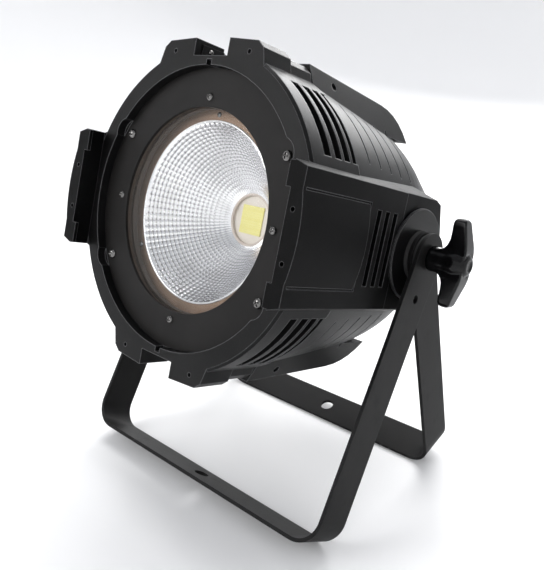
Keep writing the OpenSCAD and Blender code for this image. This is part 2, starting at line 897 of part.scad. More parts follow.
module button_menu() color("#c9cbcd") head() menu_button(0);

module button_down() color("#c9cbcd") head() menu_button(1);

module button_up() color("#c9cbcd") head() menu_button(2);

module button_enter() color("#c9cbcd") head() menu_button(3);

flange_w = 26;
flange_h = 31;

module connector_flange() {
    back_extrude(panel_y, panel_y + 2) difference() {
        intersection() {
            square([flange_w, flange_h], center = true);
            circle(18.5);
        }
        for (s = [-1, 1]) translate([s * 9.5, -s * 12]) circle(1.6);
    }
}

module connector_shell() {
    connector_flange();
    rod_y(shell_r, panel_y - shell_depth, panel_y + 1);
}

module dmx_inlet() {
    color("#3a3b3d") head() translate([-dmx_x, 0, dmx_z]) difference() {
        connector_shell();
        rod_y(9.3, panel_y - shell_depth + 4, panel_y + 3);
    }
}

contact_ring = 4.6;

module dmx_pins() {
    color("silver") head() translate([-dmx_x, 0, dmx_z])
        for (a = [30, 150, 270]) rotate([0, a, 0])
            translate([contact_ring, 0, 0]) rod_y(1.2, panel_y - shell_depth + 4, panel_y - 3);
}

latch_w = 6;
latch_t = 2.2;
latch_z = 12.6;

module dmx_outlet() {
    color("#3a3b3d") head() translate([dmx_x, 0, dmx_z]) difference() {
        connector_shell();
        tube_y(9.6, 7.9, panel_y - shell_depth + 4, panel_y + 3);
        for (a = [30, 150, 270]) rotate([0, a, 0])
            translate([contact_ring, 0, 0]) rod_y(1.3, panel_y - shell_depth + 4, panel_y + 3);
        translate([-latch_w / 2 - 0.2, panel_y - 1, latch_z - latch_t / 2 - 0.2])
            cube([latch_w + 0.4, 5, latch_t + 0.4]);
    }
}

module dmx_latch() {
    color("#9a9da0") head() translate([dmx_x, panel_y + 2.7, dmx_z + latch_z])
        cube([latch_w, 2.6, latch_t], center = true);
}

module socket_body(x) {
    translate([x, 0, power_z]) difference() {
        union() {
            back_extrude(panel_y, panel_y + 2) square([flange_w, flange_h], center = true);
            back_extrude(panel_y - 24, panel_y + eps)
                square([socket_w + 2.6, socket_h + 2.6], center = true);
        }
        children();
    }
}

// Height and sideways place of the three mains contacts
mains_contacts = [[-2, -7], [2, 0], [-2, 7]];

module power_inlet() {
    color("#101011") head() socket_body(-power_x)
        back_extrude(panel_y - 19, panel_y + 3) square([socket_w - 3, socket_h - 1], center = true);
}

module power_pins() {
    color("silver") head() translate([-power_x, panel_y - 12.5, power_z])
        for (c = mains_contacts) translate([c.x, 0, c.y]) cube([4, 13, 2], center = true);
}

module power_outlet() {
    color("#101011") head() socket_body(power_x)
        for (c = mains_contacts) translate([c.x, panel_y - 5, c.y]) cube([5, 22, 2.8], center = true);
}

module fuse_holder() {
    color("#101011") head() translate([0, 0, fuse_z]) difference() {
        union() {
            rod_y(fuse_r + 2, panel_y, panel_y + 1.5);
            rod_y(fuse_r, panel_y - 22, panel_y + 1);
        }
        rod_y(fuse_bore, panel_y - 20, panel_y + 3);
    }
}

module fuse_cap() {
    color("#161617") head() translate([0, 0, fuse_z]) difference() {
        union() {
            rod_y(fuse_r, panel_y + 1.6, panel_y + 3.8);
            rod_y(fuse_bore - 0.08, panel_y - 15, panel_y + 1.6 + eps);
        }
        translate([-4, panel_y + 2.8, -0.7]) cube([8, 3, 1.4]);
    }
}

// Steel eye for the safety cable, bent from wire and fixed through the rear panel
module safety_eye() {
    color("silver") head() translate([0, 0, eye_z]) {
        for (x = [-eye_half, eye_half]) translate([x, 0, 0]) rod_y(eye_wire, panel_y - 8, panel_y + 7);
        translate([0, panel_y + 7, 0]) intersection() {
            rotate_extrude() translate([eye_half, 0]) circle(eye_wire);
            translate([-10, 0, -5]) cube([20, 10, 10]);
        }
    }
}

// Spring plate that keeps an accessory frame in the top channel
clip_start = 2;
clip_t = 1.2;
clip_screw_y = clip_start + 8;
clip_screw_z = bracket_top - 7;

module clip_plate() {
    color("#8d9093") head() difference() {
        translate([-channel_half, clip_start, bracket_top - 12]) cube([clip_t, 22, 9]);
        translate([0, clip_screw_y, clip_screw_z])
            rod_x(1.3, -channel_half - 1, -channel_half + 3);
    }
}

module clip_screw() {
    color("silver") head() translate([-channel_half + clip_t, clip_screw_y, clip_screw_z])
        rotate([0, 0, 90]) pan_screw(0, 2.2, clip_t, clip_t);
}

front_yoke();
rear_yoke();
front_ring();
main_housing();
rear_cap();
front_bezel();
bezel_screws();
cover_screws();
front_glass();
glass_gasket();
trim_plate();
trim_screws();
reflector();
led_holder();
led_emitter();
led_substrate();
heat_sink();
fan_frame();
fan_rotor();
power_supply();
side_cover_left();
side_cover_right();
pivot_block_left();
pivot_block_right();
pivot_disc_left();
pivot_disc_right();
thread_inserts();
inner_washers();
outer_washers();
knob_left();
knob_right();
knob_bolt_left();
knob_bolt_right();
rear_panel();
rear_panel_screws();
display_window();
control_board();
button_menu();
button_down();
button_up();
button_enter();
dmx_inlet();
dmx_pins();
dmx_outlet();
dmx_latch();
power_inlet();
power_pins();
power_outlet();
fuse_holder();
fuse_cap();
safety_eye();
clip_plate();
clip_screw();
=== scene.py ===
"""Visual model of a par can light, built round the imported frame.

The frame gives every rigid piece in metres, at rest. This script gives each piece its
finish, builds finer versions of the reflector, the screws and the wing knobs, and sets
up a plain studio with a camera.
"""
from __future__ import annotations

import json
import logging
import math
from dataclasses import dataclass, field
from enum import Enum
from typing import Iterable, Mapping, Sequence, Union

import bmesh
import bpy
from mathutils import Matrix, Vector

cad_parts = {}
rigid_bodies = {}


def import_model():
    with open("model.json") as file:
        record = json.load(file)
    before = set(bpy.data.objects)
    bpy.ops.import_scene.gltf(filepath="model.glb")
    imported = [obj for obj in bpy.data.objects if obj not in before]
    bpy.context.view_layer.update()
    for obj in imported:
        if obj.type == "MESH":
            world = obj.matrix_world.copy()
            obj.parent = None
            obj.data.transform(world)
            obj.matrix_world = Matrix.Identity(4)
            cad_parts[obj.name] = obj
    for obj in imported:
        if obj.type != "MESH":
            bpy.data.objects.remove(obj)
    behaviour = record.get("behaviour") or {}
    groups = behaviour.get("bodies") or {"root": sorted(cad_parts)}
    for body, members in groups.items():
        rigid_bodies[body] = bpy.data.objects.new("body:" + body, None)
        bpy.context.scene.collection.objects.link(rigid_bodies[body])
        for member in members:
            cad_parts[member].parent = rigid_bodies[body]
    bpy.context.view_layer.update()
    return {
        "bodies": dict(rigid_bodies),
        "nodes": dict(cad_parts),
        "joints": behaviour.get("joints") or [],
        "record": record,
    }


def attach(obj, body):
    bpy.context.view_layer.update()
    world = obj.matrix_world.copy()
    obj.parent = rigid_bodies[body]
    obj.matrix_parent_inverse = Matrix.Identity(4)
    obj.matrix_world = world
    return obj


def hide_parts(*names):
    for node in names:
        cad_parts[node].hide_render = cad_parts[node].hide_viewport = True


LOG = logging.getLogger("par_light")
MM = 0.001
WELD = 0.01 * MM
BEVEL_SAMPLES = 6
EDGE_SPAN = (0.01, 0.16)

Colour = tuple[float, float, float]
Value = Union[float, int, "Link"]
Ring = list[bmesh.types.BMVert]


class Grain(Enum):
    """Kinds of fine surface relief, each with the noise scale per metre and the height."""

    POWDER = (1500.0, 0.00012)
    MOULDED = (2600.0, 0.00005)
    BRUSHED = (900.0, 0.00003)
    SMOOTH = (400.0, 0.00001)

    @property
    def scale(self) -> float:
        """Noise scale per metre."""
        return self.value[0]

    @property
    def height(self) -> float:
        """Height of the relief in metres."""
        return self.value[1]


# ---- Shader building ----


@dataclass(frozen=True)
class Link:
    """Wraps an output socket, so that shader maths reads as Python expressions."""

    graph: "Graph"
    socket: bpy.types.NodeSocket

    def __add__(self, other: Value) -> "Link":
        """Sum of two values."""
        return self.graph.maths("ADD", self, other)

    def __radd__(self, other: Value) -> "Link":
        """Sum with a number on the left."""
        return self.graph.maths("ADD", other, self)

    def __sub__(self, other: Value) -> "Link":
        """Difference of two values."""
        return self.graph.maths("SUBTRACT", self, other)

    def __rsub__(self, other: Value) -> "Link":
        """Difference with a number on the left."""
        return self.graph.maths("SUBTRACT", other, self)

    def __mul__(self, other: Value) -> "Link":
        """Product of two values."""
        return self.graph.maths("MULTIPLY", self, other)

    def clamped(self) -> "Link":
        """The value held between 0 and 1."""
        return self.graph.maths("ADD", self, 0.0, clamp=True)

    def over(self, low: float, high: float) -> "Link":
        """Smooth step of the value.

        Args:
            low: value that gives 0.
            high: value that gives 1.

        Returns:
            A value from 0 to 1.
        """
        settings = {"interpolation_type": "SMOOTHSTEP"}
        sockets = {"Value": self, "From Min": low, "From Max": high}
        return self.graph.node("ShaderNodeMapRange", settings, sockets).out("Result")


@dataclass(frozen=True)
class Node:
    """A node of a graph, with its outputs by name."""

    graph: "Graph"
    raw: bpy.types.Node

    def out(self, name: str | int = 0) -> Link:
        """Output of the node.

        Args:
            name: name or place of the output socket.

        Returns:
            The wrapped output socket.
        """
        if isinstance(name, str):
            found = [s for s in self.raw.outputs if s.name == name and s.enabled]
            return Link(self.graph, found[0])
        return Link(self.graph, self.raw.outputs[name])


class Graph:
    """Node tree of one material."""

    def __init__(self, name: str) -> None:
        """Makes a material with an empty tree.

        Args:
            name: name of the material.
        """
        self.material = bpy.data.materials.new(name)
        self.material.use_nodes = True
        self.tree = self.material.node_tree
        self.tree.nodes.clear()

    def node(
        self,
        kind: str,
        settings: Mapping[str, object] | None = None,
        sockets: Mapping[str | int, object] | None = None,
    ) -> Node:
        """Adds a node.

        Args:
            kind: type name of the node.
            settings: attributes of the node, set first.
            sockets: value or link of each input, by name or place.

        Returns:
            The new node.
        """
        raw = self.tree.nodes.new(kind)
        for key, value in (settings or {}).items():
            setattr(raw, key, value)
        for key, value in (sockets or {}).items():
            if isinstance(key, str):
                target = [s for s in raw.inputs if s.name == key and s.enabled][0]
            else:
                target = raw.inputs[key]
            if isinstance(value, Link):
                self.tree.links.new(value.socket, target)
            else:
                target.default_value = value
        return Node(self, raw)

    def maths(self, operation: str, *values: Value, clamp: bool = False) -> Link:
        """Adds a Math node.

        Args:
            operation: what the node does.
            values: its inputs, in order.
            clamp: whether the result is held between 0 and 1.

        Returns:
            The result.
        """
        settings = {"operation": operation, "use_clamp": clamp}
        return self.node("ShaderNodeMath", settings, dict(enumerate(values))).out()

    def vector_maths(self, operation: str, *values: object, output: str = "Vector") -> Link:
        """Adds a Vector Math node.

        Args:
            operation: what the node does.
            values: its inputs, in order.
            output: name of the output wanted.

        Returns:
            The result.
        """
        settings = {"operation": operation}
        made = self.node("ShaderNodeVectorMath", settings, dict(enumerate(values)))
        return made.out(output)

    def place(self) -> Link:
        """Place on the object, in metres."""
        return self.node("ShaderNodeTexCoord").out("Object")

    def noise(self, scale: float, detail: float = 3.0, at: Link | None = None) -> Link:
        """Noise between 0 and 1.

        Args:
            scale: noise cells per metre.
            detail: number of finer layers.
            at: where it is read, the place on the object if left out.

        Returns:
            The noise value.
        """
        sockets = {"Vector": at or self.place(), "Scale": scale, "Detail": detail}
        return self.node("ShaderNodeTexNoise", {}, sockets).out("Fac")

    def blend(self, share: Value, low: object, high: object) -> Link:
        """Mixes two colours.

        Args:
            share: 0 gives low and 1 gives high.
            low: first colour or link.
            high: second colour or link.

        Returns:
            The mixed colour.
        """
        settings = {"data_type": "RGBA"}
        paint = [c if isinstance(c, Link) else (*c, 1.0) for c in (low, high)]
        sockets = {"Factor": share, "A": paint[0], "B": paint[1]}
        return self.node("ShaderNodeMix", settings, sockets).out("Result")

    def rounded(self, radius: float) -> Link:
        """Normal with the edges rounded.

        Args:
            radius: radius of the rounding in metres.

        Returns:
            The normal.
        """
        settings = {"samples": BEVEL_SAMPLES}
        return self.node("ShaderNodeBevel", settings, {"Radius": radius}).out("Normal")

    def pointiness(self) -> Link:
        """Curvature of the mesh: above a half on humps and below it in valleys."""
        return self.node("ShaderNodeNewGeometry").out("Pointiness")

    def edges(self, normal: Link) -> Link:
        """Mask that is 1 on sharp edges.

        Args:
            normal: the rounded normal.

        Returns:
            The mask.
        """
        flat = self.node("ShaderNodeNewGeometry").out("Normal")
        alike = self.vector_maths("DOT_PRODUCT", normal, flat, output="Value")
        return (1 - alike).over(*EDGE_SPAN)

    def bump(self, height: Link, depth: float, strength: float = 1.0,
             normal: Link | None = None) -> Link:
        """Relief from a height value.

        Args:
            height: height from 0 to 1.
            depth: depth of the relief in metres.
            strength: share of the relief that shows.
            normal: normal that the relief is added to.

        Returns:
            The normal.
        """
        sockets = {"Height": height, "Distance": depth, "Strength": strength}
        if normal is not None:
            sockets["Normal"] = normal
        return self.node("ShaderNodeBump", {}, sockets).out("Normal")

    def close(self, **inputs: object) -> bpy.types.Material:
        """Adds the surface shader and the output.

        Args:
            inputs: value or link of each shader input, with _ for a space.

        Returns:
            The finished material.
        """
        sockets = {k.replace("_", " "): v for k, v in inputs.items()}
        shader = self.node("ShaderNodeBsdfPrincipled", {}, sockets).out("BSDF")
        self.node("ShaderNodeOutputMaterial", {}, {"Surface": shader})
        return self.material


# ---- Finishes ----


def opaque(colour: Colour) -> tuple[float, float, float, float]:
    """Colour with full alpha."""
    return (*colour, 1.0)


@dataclass(frozen=True)
class PowderCoat:
    """Satin powder coat on metal: fine grain, cloudy gloss, and edges painted lighter, partly worn
    paint and partly painted highlight.
    """

    name: str
    colour: Colour = (0.0045, 0.0045, 0.0046)
    dust: Colour = (0.008, 0.0079, 0.0079)
    rubbed_and_highlight: Colour = (0.06, 0.06, 0.062)
    roughness: float = 0.38
    rounding: float = 0.7 * MM
    grain: Grain = Grain.POWDER
    edge_wear_and_highlight: float = 0.5
    shine: float = 0.12
    cloud_scale: float = 22.0
    peel_scale: float = 260.0
    peel_height: float = 0.00008
    scuff_scale: float = 70.0

    def make(self) -> bpy.types.Material:
        """Builds the material.

        Returns:
            The material.
        """
        graph = Graph(self.name)
        rounded = graph.rounded(self.rounding)
        cloud = graph.noise(self.cloud_scale, 4.0)
        speckle = graph.noise(self.grain.scale, 2.0)
        peel = graph.noise(self.peel_scale, 2.0)
        scuff = graph.noise(self.scuff_scale, 5.0).over(0.56, 0.74)
        base = graph.blend(cloud.over(0.35, 0.75), self.colour, self.dust)
        base = graph.blend(speckle.over(0.6, 0.8) * 0.1, base, self.rubbed_and_highlight)
        # Painted highlight along the edges, partly worn paint: the edge mask lightens the colour
        # towards the light edge colour.
        edge = graph.edges(rounded) * (self.edge_wear_and_highlight + scuff * 0.4)
        base = graph.blend(edge.clamped(), base, self.rubbed_and_highlight)
        gloss = self.roughness - 0.06 + cloud * 0.09 + speckle * 0.06 + scuff * 0.05
        relief = graph.bump(speckle, self.grain.height, 0.55, rounded)
        relief = graph.bump(peel, self.peel_height, 0.35, relief)
        return graph.close(Base_Color=base, Roughness=gloss, Normal=relief,
                           Specular_IOR_Level=self.shine)


@dataclass(frozen=True)
class BareMetal:
    """Plated or bare metal with fine brushing and tarnish."""

    name: str
    colour: Colour = (0.62, 0.62, 0.63)
    tarnish: Colour = (0.33, 0.32, 0.31)
    roughness: float = 0.24
    rounding: float = 0.12 * MM
    stretch: tuple[float, float, float] = (1.0, 1.0, 1.0)
    cloud_scale: float = 120.0

    def make(self) -> bpy.types.Material:
        """Builds the material.

        Returns:
            The material.
        """
        graph = Graph(self.name)
        rounded = graph.rounded(self.rounding)
        along = graph.vector_maths("MULTIPLY", graph.place(), self.stretch)
        brush = graph.noise(Grain.BRUSHED.scale, 3.0, along)
        cloud = graph.noise(self.cloud_scale, 4.0)
        base = graph.blend(cloud.over(0.48, 0.8) * 0.7, self.colour, self.tarnish)
        gloss = self.roughness + brush * 0.12 + cloud * 0.06
        relief = graph.bump(brush, Grain.BRUSHED.height, 0.4, rounded)
        return graph.close(Base_Color=base, Roughness=gloss, Metallic=1.0, Normal=relief)


@dataclass(frozen=True)
class Plastic:
    """Moulded plastic, from matt to glossy."""

    name: str
    colour: Colour = (0.012, 0.012, 0.0125)
    worn: Colour = (0.04, 0.04, 0.041)
    roughness: float = 0.45
    grain: Grain = Grain.MOULDED
    rounding: float = 0.3 * MM
    coat: float = 0.0
    coat_roughness: float = 0.12
    shine: float = 0.5
    flow_scale: float = 60.0

    def make(self) -> bpy.types.Material:
        """Builds the material.

        Returns:
            The material.
        """
        graph = Graph(self.name)
        rounded = graph.rounded(self.rounding)
        flow = graph.noise(self.flow_scale, 4.0)
        pores = graph.noise(self.grain.scale, 2.0)
        base = graph.blend(flow.over(0.4, 0.8) * 0.5, self.colour, self.worn)
        base = graph.blend(graph.edges(rounded) * 0.35, base, self.worn)
        gloss = self.roughness + flow * 0.08 - 0.04 + pores * 0.05
        relief = graph.bump(pores, self.grain.height, 0.5, rounded)
        return graph.close(Base_Color=base, Roughness=gloss, Normal=relief,
                           Specular_IOR_Level=self.shine, Coat_Weight=self.coat,
                           Coat_Roughness=self.coat_roughness)


@dataclass(frozen=True)
class Mirror:
    """Bright anodised metal of the reflector, with painted shade in the valleys between the
    pebbles.
    """

    name: str
    colour: Colour = (0.94, 0.94, 0.95)
    shade: Colour = (0.76, 0.755, 0.75)
    painted_valley_shade: Colour = (0.3, 0.295, 0.29)
    roughness: float = 0.06
    haze_scale: float = 45.0
    grain_scale: float = 1800.0
    grain_height: float = 0.00002
    painted_shade_span: tuple[float, float] = (0.45, 0.505)

    def make(self) -> bpy.types.Material:
        """Builds the material.

        Returns:
            The material.
        """
        graph = Graph(self.name)
        haze = graph.noise(self.haze_scale, 4.0)
        grain = graph.noise(self.grain_scale, 2.0)
        base = graph.blend(haze.over(0.4, 0.8) * 0.6, self.colour, self.shade)
        # Painted shade: where the mesh is least pointy, in the valleys between the pebbles, the
        # colour goes dark.
        base = graph.blend(graph.pointiness().over(*self.painted_shade_span), self.painted_valley_shade, base)
        gloss = self.roughness + haze * 0.06 + grain * 0.04
        relief = graph.bump(grain, self.grain_height, 0.3)
        return graph.close(Base_Color=base, Roughness=gloss, Metallic=1.0, Normal=relief)


@dataclass(frozen=True)
class Glass:
    """Clear cover glass with a little dust."""

    name: str
    tint: Colour = (0.93, 0.97, 0.96)
    alpha: float = 0.02
    dust_scale: float = 700.0
    film_scale: float = 16.0
    index: float = 1.5

    def make(self) -> bpy.types.Material:
        """Builds the material.

        Returns:
            The material.
        """
        graph = Graph(self.name)
        dust = graph.noise(self.dust_scale).over(0.66, 0.8)
        film = graph.noise(self.film_scale)
        alpha = self.alpha + dust * 0.02 + film * 0.01
        return graph.close(Base_Color=opaque(self.tint), Roughness=0.04 + film * 0.03,
                           Alpha=alpha, IOR=self.index)


@dataclass(frozen=True)
class Phosphor:
    """Yellow phosphor of the light source, over its grid of chips."""

    name: str
    colour: Colour = (0.76, 0.69, 0.21)
    pale: Colour = (0.84, 0.79, 0.33)
    chips_scale: float = 520.0
    chips_height: float = 0.0001
    cloud_scale: float = 260.0
    shine: float = 0.2

    def make(self) -> bpy.types.Material:
        """Builds the material.

        Returns:
            The material.
        """
        graph = Graph(self.name)
        grid = graph.node("ShaderNodeTexVoronoi", {"distance": "CHEBYCHEV"},
                          {"Vector": graph.place(), "Scale": self.chips_scale,
                           "Randomness": 0.0})
        cells = grid.out("Distance").over(0.25, 0.5)
        cloud = graph.noise(self.cloud_scale)
        base = graph.blend((cells * 0.4 + cloud * 0.5).clamped(), self.pale, self.colour)
        relief = graph.bump(cells, self.chips_height, 0.3)
        return graph.close(Base_Color=base, Roughness=0.32 + cloud * 0.15, Normal=relief,
                           Specular_IOR_Level=self.shine)


@dataclass(frozen=True)
class CircuitBoard:
    """Green board with copper tracks under the lacquer."""

    name: str
    colour: Colour = (0.012, 0.09, 0.03)
    track: Colour = (0.03, 0.17, 0.06)
    track_scale: float = 160.0
    track_width: float = 0.03
    spread_scale: float = 300.0

    def make(self) -> bpy.types.Material:
        """Builds the material.

        Returns:
            The material.
        """
        graph = Graph(self.name)
        lines = graph.node("ShaderNodeTexBrick", {}, {
            "Vector": graph.place(), "Scale": self.track_scale, "Mortar Size": self.track_width,
            "Color1": opaque(self.colour), "Color2": opaque(self.colour),
            "Mortar": opaque(self.track)}).out("Color")
        spread = graph.noise(self.spread_scale, 2.0)
        base = graph.blend(spread.over(0.6, 0.7) * 0.5, lines, self.track)
        return graph.close(Base_Color=base, Roughness=0.3 + spread * 0.2)


@dataclass(frozen=True)
class StudioPaint:
    """Pale matt paint of the studio floor."""

    name: str
    colour: Colour = (0.94, 0.94, 0.942)
    fade: float = 0.985
    cloud_scale: float = 1.5

    def make(self) -> bpy.types.Material:
        """Builds the material.

        Returns:
            The material.
        """
        graph = Graph(self.name)
        cloud = graph.noise(self.cloud_scale)
        soft = tuple(self.fade * c for c in self.colour)
        base = graph.blend(cloud, self.colour, soft)
        return graph.close(Base_Color=base, Roughness=0.6 + cloud * 0.1)


@dataclass
class Finishes:
    """Every finish of the light, made once."""

    # Light edges: painted highlight, partly worn paint.
    cast: PowderCoat = PowderCoat(
        "cast_powder_coat", rubbed_and_highlight=(0.19, 0.19, 0.195), rounding=1.1 * MM, edge_wear_and_highlight=0.9)
    # Darker copy of the black coat, as painted shade on the side covers and pivot blocks; its light
    # edges are worn paint and painted highlight.
    cover: PowderCoat = PowderCoat(
        "side_cover_coat", colour=(0.0016, 0.0016, 0.0017), dust=(0.0028, 0.0028, 0.0029),
        rubbed_and_highlight=(0.15, 0.15, 0.153), roughness=0.45, rounding=0.9 * MM, edge_wear_and_highlight=0.9, shine=0.06)
    bezel: PowderCoat = PowderCoat(
        "bezel_coat", colour=(0.0095, 0.0088, 0.0085), dust=(0.0145, 0.0135, 0.013), roughness=0.46,
        rounding=0.4 * MM, edge_wear_and_highlight=0.6)
    sheet: PowderCoat = PowderCoat(
        "yoke_coat", colour=(0.0065, 0.0063, 0.0063), dust=(0.0105, 0.0102, 0.0102),
        roughness=0.5, rounding=0.5 * MM, shine=0.12)
    # Edges strongly lightened: painted highlight along the disc rims, partly worn paint.
    disc: PowderCoat = PowderCoat(
        "disc_coat", colour=(0.0022, 0.0022, 0.0023), dust=(0.004, 0.004, 0.0041),
        rubbed_and_highlight=(0.26, 0.26, 0.265), roughness=0.3, rounding=0.8 * MM, edge_wear_and_highlight=1.0)
    screw: BareMetal = BareMetal("zinc_screw", (0.2, 0.196, 0.19), (0.07, 0.067, 0.064), 0.12)
    clip: PowderCoat = PowderCoat("clip_coat", roughness=0.3, edge_wear_and_highlight=0.9)
    wire: BareMetal = BareMetal("safety_wire", roughness=0.2)
    brass: BareMetal = BareMetal("insert_brass", (0.68, 0.47, 0.18), (0.35, 0.22, 0.08), 0.26)
    extrusion: BareMetal = BareMetal(
        "heat_sink_metal", (0.55, 0.56, 0.57), (0.4, 0.4, 0.41), 0.34, stretch=(6.0, 1.0, 1.0))
    case: BareMetal = BareMetal("supply_case_metal", (0.5, 0.51, 0.52), (0.37, 0.37, 0.38), 0.4)
    plate: BareMetal = BareMetal(
        "trim_metal", (0.2, 0.135, 0.095), (0.14, 0.095, 0.066), 0.45, stretch=(1.0, 1.0, 9.0))
    shell: BareMetal = BareMetal("connector_metal", (0.06, 0.06, 0.063), (0.03, 0.03, 0.032), 0.3)
    knob: Plastic = Plastic(
        "knob_plastic", colour=(0.0025, 0.0025, 0.0027), worn=(0.006, 0.006, 0.0063),
        roughness=0.14, grain=Grain.SMOOTH, shine=0.25)
    moulding: Plastic = Plastic("black_moulding")
    fan: Plastic = Plastic("fan_plastic", roughness=0.35)
    button: Plastic = Plastic("button_grey", (0.42, 0.43, 0.44), (0.5, 0.51, 0.52), 0.4)
    holder: Plastic = Plastic("holder_white", (0.55, 0.47, 0.41), (0.62, 0.55, 0.48), 0.5)
    rubber: Plastic = Plastic("gasket_rubber", (0.075, 0.055, 0.042), (0.11, 0.08, 0.06), 0.75)
    fibre: Plastic = Plastic("washer_fibre", (0.02, 0.02, 0.02), (0.05, 0.048, 0.046), 0.7)
    board: Plastic = Plastic("led_board_ceramic", (0.72, 0.66, 0.58), (0.8, 0.75, 0.68), 0.38)
    window: Plastic = Plastic(
        "display_acrylic", (0.004, 0.006, 0.009), (0.008, 0.01, 0.014), 0.08,
        grain=Grain.SMOOTH, coat=0.6)
    mirror: Mirror = Mirror("reflector_mirror")
    glass: Glass = Glass("cover_glass")
    phosphor: Phosphor = Phosphor("led_phosphor")
    circuit: CircuitBoard = CircuitBoard("control_board_lacquer")
    made: dict[str, bpy.types.Material] = field(default_factory=dict)

    def of(self, name: str) -> bpy.types.Material:
        """Material of a finish, made on first use.

        Args:
            name: field name of the finish.

        Returns:
            The material.
        """
        if name not in self.made:
            self.made[name] = getattr(self, name).make()
        return self.made[name]


# ---- Geometry ----


@dataclass(frozen=True)
class HeadFrame:
    """The tilted head's own directions: X to the right, Y back from the bezel, Z up."""

    pivot: Vector
    back: Vector
    bezel_to_pivot: float = 130 * MM

    @classmethod
    def from_joints(cls, joints: Iterable[Mapping[str, object]]) -> "HeadFrame":
        """Reads the head's pivot and direction from the joints.

        Args:
            joints: the frame's joints.

        Returns:
            The head's frame.
        """
        named = {j["name"]: j for j in joints}
        back = Vector(named["fan_spin"]["axis"]).normalized()
        return cls(Vector(named["head_tilt"]["pos_m"]), back)

    @property
    def matrix(self) -> Matrix:
        """Matrix from head coordinates to the row frame.

        Returns:
            The matrix.
        """
        across = Vector((1, 0, 0))
        up = across.cross(self.back)
        turn = Matrix((across, self.back, up)).transposed().to_4x4()
        origin = self.pivot - self.back * self.bezel_to_pivot
        return Matrix.Translation(origin) @ turn

    def local_box(self, points: Iterable[Vector]) -> tuple[Vector, Vector]:
        """Box of some points in head coordinates.

        Args:
            points: points in the row frame.

        Returns:
            Lowest and highest corner.
        """
        back = self.matrix.inverted()
        inside = [back @ p for p in points]
        low = Vector(min(p[i] for p in inside) for i in range(3))
        high = Vector(max(p[i] for p in inside) for i in range(3))
        return low, high


class Workshop:
    """Makes mesh objects and hands them to the frame."""

    def __init__(self, frame: Mapping[str, object]) -> None:
        """Keeps the frame's parts at hand.
        """
        self.nodes = frame["nodes"]
        self.slots = {s["node"]: s["material_slot"] for s in frame["record"]["subparts"]}
        self.bodies = {
            node: body
            for body, members in frame["record"]["behaviour"]["bodies"].items()
            for node in members
        }
        self.head = HeadFrame.from_joints(frame["joints"])
        self.finishes = Finishes()

    def dress(self, finish: str, *nodes: str) -> None:
        """Gives frame nodes a finish.

        Args:
            finish: field name of the finish.
            nodes: names of the nodes.
        """
        for name in nodes:
            piece = self.nodes[name]
            piece.data.materials.clear()
            piece.data.materials.append(self.finishes.of(finish))
            LOG.info("dressed %s in %s", name, finish)

    def piece(self, name: str, mesh: bpy.types.Mesh, finish: str, node: str) -> None:
        """Adds a piece that stands for a frame node.

        Args:
            name: name of the piece.
            mesh: its mesh, in the row frame.
            finish: field name of the finish.
            node: the frame node that it replaces.
        """
        made = bpy.data.objects.new(name, mesh)
        bpy.context.scene.collection.objects.link(made)
        mesh.materials.append(self.finishes.of(finish))
        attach(made, self.bodies[node])
        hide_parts(node)
        LOG.info("built %s for %s", name, node)

    def head_mesh(self, name: str, cage: bmesh.types.BMesh, sharp: float) -> bpy.types.Mesh:
        """Turns a cage in head coordinates into a mesh in the row frame.

        Args:
            name: name of the mesh.
            cage: the cage, which is freed.
            sharp: edges sharper than this many degrees stay sharp.

        Returns:
            The shaded mesh.
        """
        bmesh.ops.recalc_face_normals(cage, faces=cage.faces)
        mesh = bpy.data.meshes.new(name)
        cage.to_mesh(mesh)
        cage.free()
        mesh.transform(self.head.matrix)
        shade(mesh, sharp)
        return mesh

    def loose_parts(self, node: str) -> list[list[Vector]]:
        """Corner points of each separate solid of a node.

        Args:
            node: name of the node.

        Returns:
            One list of points per solid.
        """
        cage = bmesh.new()
        cage.from_mesh(self.nodes[node].data)
        bmesh.ops.remove_doubles(cage, verts=cage.verts, dist=WELD)
        unseen, parts = set(cage.verts), []
        while unseen:
            queue, part = [unseen.pop()], []
            while queue:
                vert = queue.pop()
                part.append(vert.co.copy())
                for edge in vert.link_edges:
                    other = edge.other_vert(vert)
                    if other in unseen:
                        unseen.remove(other)
                        queue.append(other)
            parts.append(part)
        cage.free()
        return sorted(parts, key=lambda p: tuple(round(c, 5) for c in sum(p, Vector()) / len(p)))


def shade(mesh: bpy.types.Mesh, angle: float) -> None:
    """Smooths a mesh's shading except over sharp edges.

    Args:
        mesh: the mesh.
        angle: edges sharper than this many degrees stay sharp.
    """
    cage = bmesh.new()
    cage.from_mesh(mesh)
    for face in cage.faces:
        face.smooth = True
    for edge in cage.edges:
        sharp = len(edge.link_faces) == 2 and edge.calc_face_angle(0.0) > math.radians(angle)
        edge.smooth = not sharp
    cage.to_mesh(mesh)
    cage.free()


def skin(cage: bmesh.types.BMesh, near: Ring, far: Ring) -> None:
    """Joins two rings with faces, either of which may be a single point.

    Args:
        cage: mesh that takes the faces.
        near: first ring.
        far: second ring.
    """
    count = max(len(near), len(far))
    for i in range(count):
        j = (i + 1) % count
        corners = (near[i % len(near)], near[j % len(near)], far[j % len(far)], far[i % len(far)])
        cage.faces.new(list(dict.fromkeys(corners)))


def apply_modifiers(piece: bpy.types.Object) -> bpy.types.Mesh:
    """Turns an object's modifiers into plain mesh.

    Args:
        piece: an object that is linked to the scene.

    Returns:
        The new mesh; the object is removed.
    """
    bpy.context.view_layer.update()
    graph = bpy.context.evaluated_depsgraph_get()
    mesh = bpy.data.meshes.new_from_object(piece.evaluated_get(graph))
    bpy.data.objects.remove(piece)
    return mesh


# ---- Reflector ----


